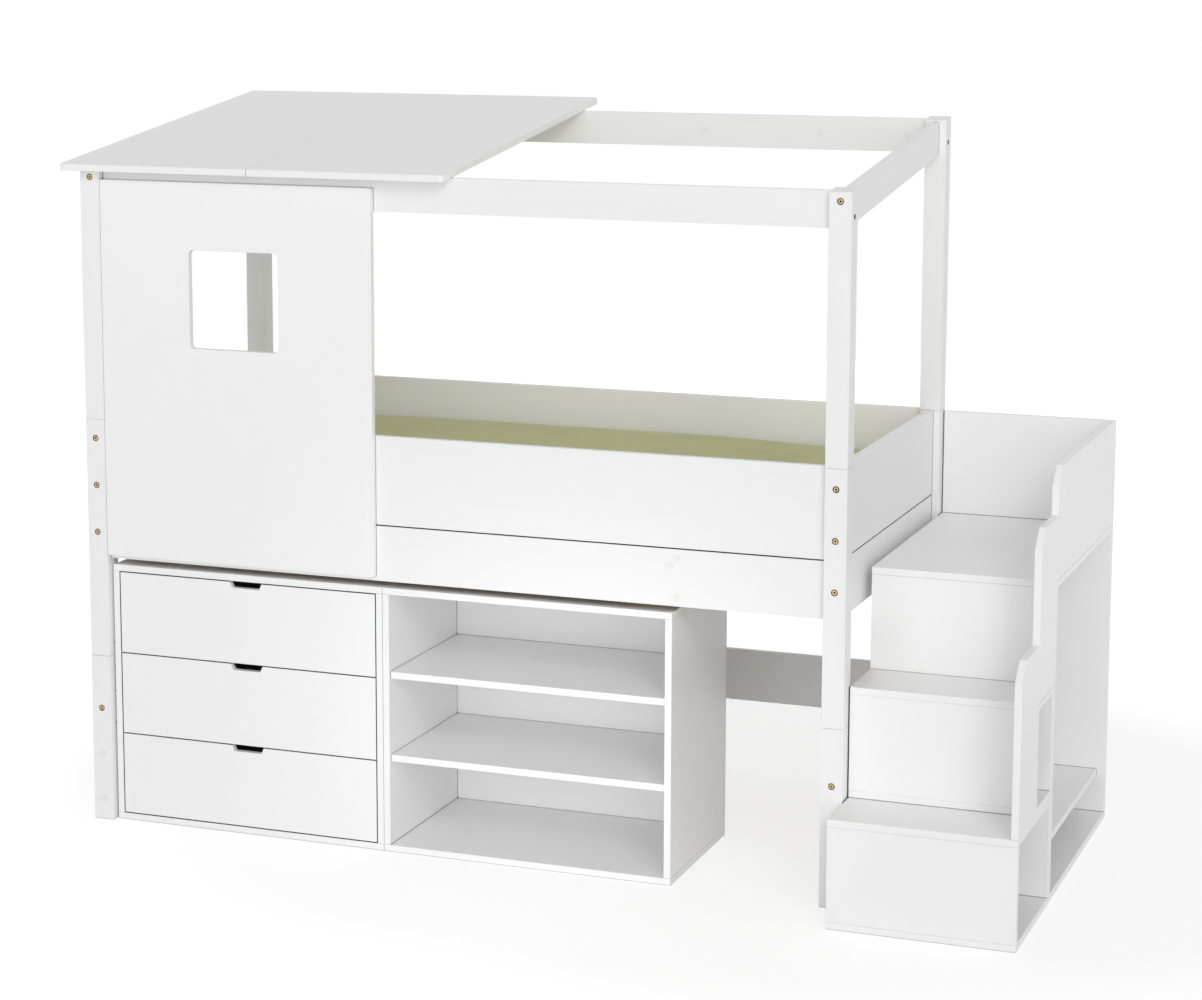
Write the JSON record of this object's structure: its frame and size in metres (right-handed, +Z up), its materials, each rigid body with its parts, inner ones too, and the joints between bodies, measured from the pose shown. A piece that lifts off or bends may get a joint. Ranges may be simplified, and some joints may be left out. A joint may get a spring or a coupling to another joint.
{
  "type": "cabin bed",
  "caption": "Raised child's bed on square posts with a lean-to roof, a house front with a window, drawers and open shelves below, and a storage stair with a stepped side guard.",
  "frame": {"origin": "on the floor, at the middle of the rectangle that the whole object covers", "axes": "+X along the bed from the house end to the stair end, +Y from the front to the back, +Z up"},
  "size_m": [2.612, 1.241, 1.9329],
  "materials": {
    "lacquered_pine": "satin white lacquer",
    "lacquered_board": "satin white lacquer",
    "back_board": "matte white foil",
    "bare_pine": "planed, bare",
    "beech_dowel": "turned, bare",
    "brass_nut": "satin",
    "zinc_steel": "zinc plated",
    "runner_steel": "powder coated",
    "cap_plastic": "moulded",
    "mattress_cover": "soft short pile"
  },
  "bodies": {
    "bed": {"post_feet": "lacquered_pine", "post_middles": "lacquered_pine", "front_post_tops": "lacquered_pine", "back_post_tops": "lacquered_pine", "front_upper_rail": "lacquered_pine", "back_upper_rail": "lacquered_pine", "end_upper_rails": "lacquered_pine", "front_guard": "lacquered_pine", "back_guard": "lacquered_pine", "end_guards": "lacquered_pine", "front_bed_rail": "lacquered_pine", "back_bed_rail": "lacquered_pine", "end_bed_rails": "lacquered_pine", "stretchers": "lacquered_pine", "slat_ledgers": "bare_pine", "slats": "bare_pine", "mattress": "mattress_cover", "house_front": "lacquered_board", "roof_board_left": "lacquered_board", "roof_board_right": "lacquered_board", "roof_cleats": "bare_pine", "sleeve_nuts": "brass_nut", "frame_bolts": "zinc_steel", "barrel_nuts": "zinc_steel", "wood_dowels": "beech_dowel", "wood_screws": "zinc_steel", "cover_caps": "cap_plastic", "chest_base": "lacquered_board", "chest_top": "lacquered_board", "chest_sides": "lacquered_board", "chest_back": "back_board", "runner_channels": "runner_steel", "shelf_unit_base": "lacquered_board", "shelf_unit_top": "lacquered_board", "shelf_unit_sides": "lacquered_board", "shelf_unit_back": "back_board", "shelf_boards": "lacquered_board", "stair_base": "lacquered_board", "stair_riser_1": "lacquered_board", "stair_riser_2": "lacquered_board", "stair_riser_3": "lacquered_board", "stair_tread_1": "lacquered_board", "stair_tread_2": "lacquered_board", "stair_step_floor": "lacquered_board", "stair_step_backs": "lacquered_board", "stair_inner_sides": "lacquered_board", "stair_platform": "lacquered_board", "stair_back_wall": "lacquered_board", "stair_back_panel": "lacquered_board", "stair_side_guard": "lacquered_board", "stair_locker_shelf": "lacquered_board"},
    "drawer_1": {"drawer_front_1": "lacquered_board", "drawer_tray_1": "lacquered_board", "drawer_runners_1": "runner_steel"},
    "drawer_2": {"drawer_front_2": "lacquered_board", "drawer_tray_2": "lacquered_board", "drawer_runners_2": "runner_steel"},
    "drawer_3": {"drawer_front_3": "lacquered_board", "drawer_tray_3": "lacquered_board", "drawer_runners_3": "runner_steel"}
  },
  "joints": [
    {"name": "drawer_1_slide", "type": "slide", "parent": "bed", "child": "drawer_1", "axis": [0, -1, 0], "range_m": [0, 0.3]},
    {"name": "drawer_2_slide", "type": "slide", "parent": "bed", "child": "drawer_2", "axis": [0, -1, 0], "range_m": [0, 0.3]},
    {"name": "drawer_3_slide", "type": "slide", "parent": "bed", "child": "drawer_3", "axis": [0, -1, 0], "range_m": [0, 0.3]}
  ]
}
